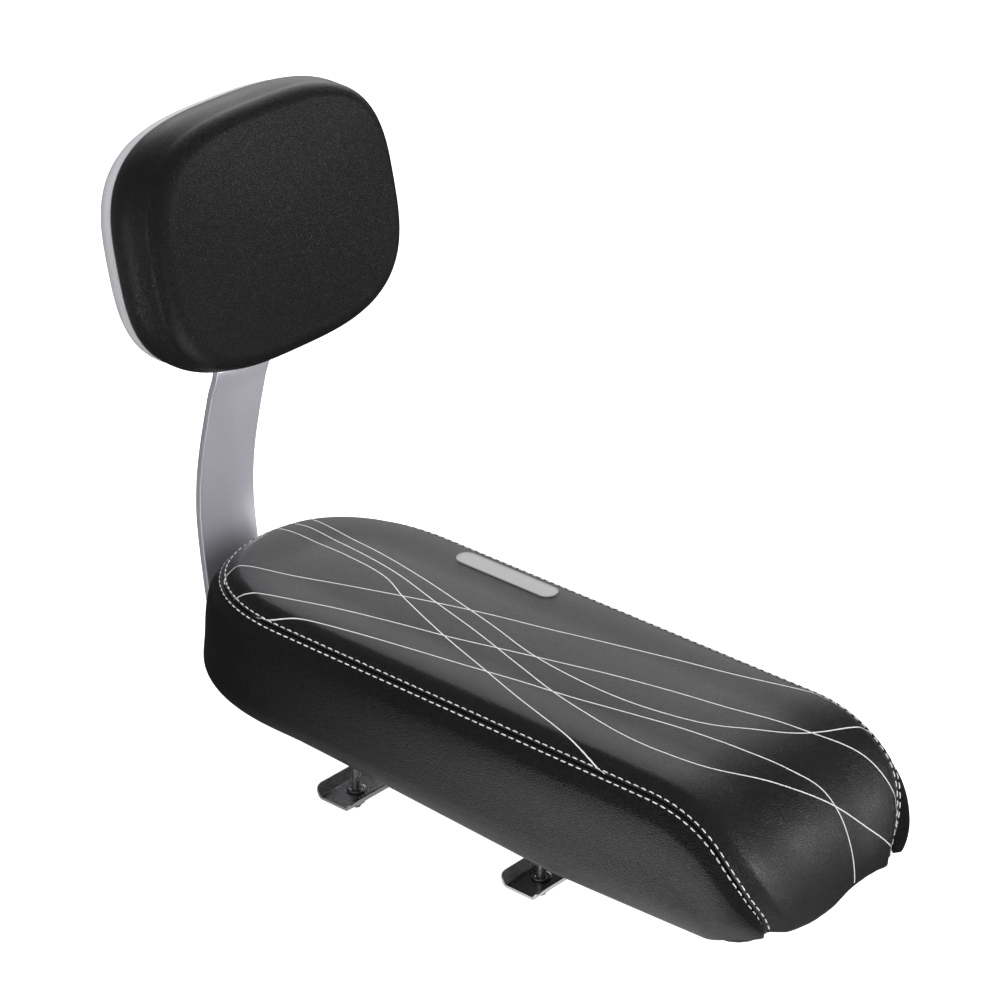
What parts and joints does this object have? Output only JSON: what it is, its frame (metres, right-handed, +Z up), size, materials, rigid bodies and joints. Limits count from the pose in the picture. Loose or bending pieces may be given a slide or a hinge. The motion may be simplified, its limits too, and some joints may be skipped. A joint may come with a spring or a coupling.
{
  "type": "bicycle rear rack seat cushion",
  "caption": "Padded seat cushion with a rounded backrest on a bent flat bar; clamp channels under it grip the carrier over a bicycle's rear wheel.",
  "frame": {"origin": "middle of the cushion's flat underside, the face that lies on the carrier", "axes": "+X forward, +Y to the rider's left, +Z up out of the underside"},
  "size_m": [0.4182, 0.1712, 0.353],
  "materials": {
    "cover_leather": "grained imitation leather, satin",
    "foam": "soft polyurethane foam",
    "board": "moulded polypropylene board",
    "liner": "black felt",
    "badge": "silver foil, bare",
    "bar_paint": "silver lilac paint, semi-gloss",
    "plated_steel": "bright zinc plating",
    "shell_plastic": "white moulded plastic"
  },
  "bodies": {
    "root": {"seat_top_panel": "cover_leather", "seat_side_band": "cover_leather", "seat_foam": "foam", "seat_board": "board", "seat_bottom_liner": "liner", "seat_badge": "badge", "clamp_channel_rear": "plated_steel", "clamp_bolt_rear_right": "plated_steel", "clamp_upper_washer_rear_right": "plated_steel", "clamp_lower_washer_rear_right": "plated_steel", "clamp_nut_rear_right": "plated_steel", "clamp_bolt_rear_left": "plated_steel", "clamp_upper_washer_rear_left": "plated_steel", "clamp_lower_washer_rear_left": "plated_steel", "clamp_nut_rear_left": "plated_steel", "clamp_channel_front": "plated_steel", "clamp_bolt_front_right": "plated_steel", "clamp_upper_washer_front_right": "plated_steel", "clamp_lower_washer_front_right": "plated_steel", "clamp_nut_front_right": "plated_steel", "clamp_bolt_front_left": "plated_steel", "clamp_upper_washer_front_left": "plated_steel", "clamp_lower_washer_front_left": "plated_steel", "clamp_nut_front_left": "plated_steel", "backrest_bar": "bar_paint", "backrest_shell": "shell_plastic", "backrest_board": "board", "backrest_foam": "foam", "backrest_cover": "cover_leather", "bolt_leg_rear": "plated_steel", "washer_leg_rear": "plated_steel", "tnut_leg_rear": "plated_steel", "bolt_leg_front": "plated_steel", "washer_leg_front": "plated_steel", "tnut_leg_front": "plated_steel", "bolt_back_lower": "plated_steel", "washer_back_lower": "plated_steel", "tnut_back_lower": "plated_steel", "bolt_back_upper": "plated_steel", "washer_back_upper": "plated_steel", "tnut_back_upper": "plated_steel", "shell_screw_lower_right": "plated_steel", "shell_screw_lower_left": "plated_steel", "shell_screw_upper_right": "plated_steel", "shell_screw_upper_left": "plated_steel"}
  },
  "joints": []
}
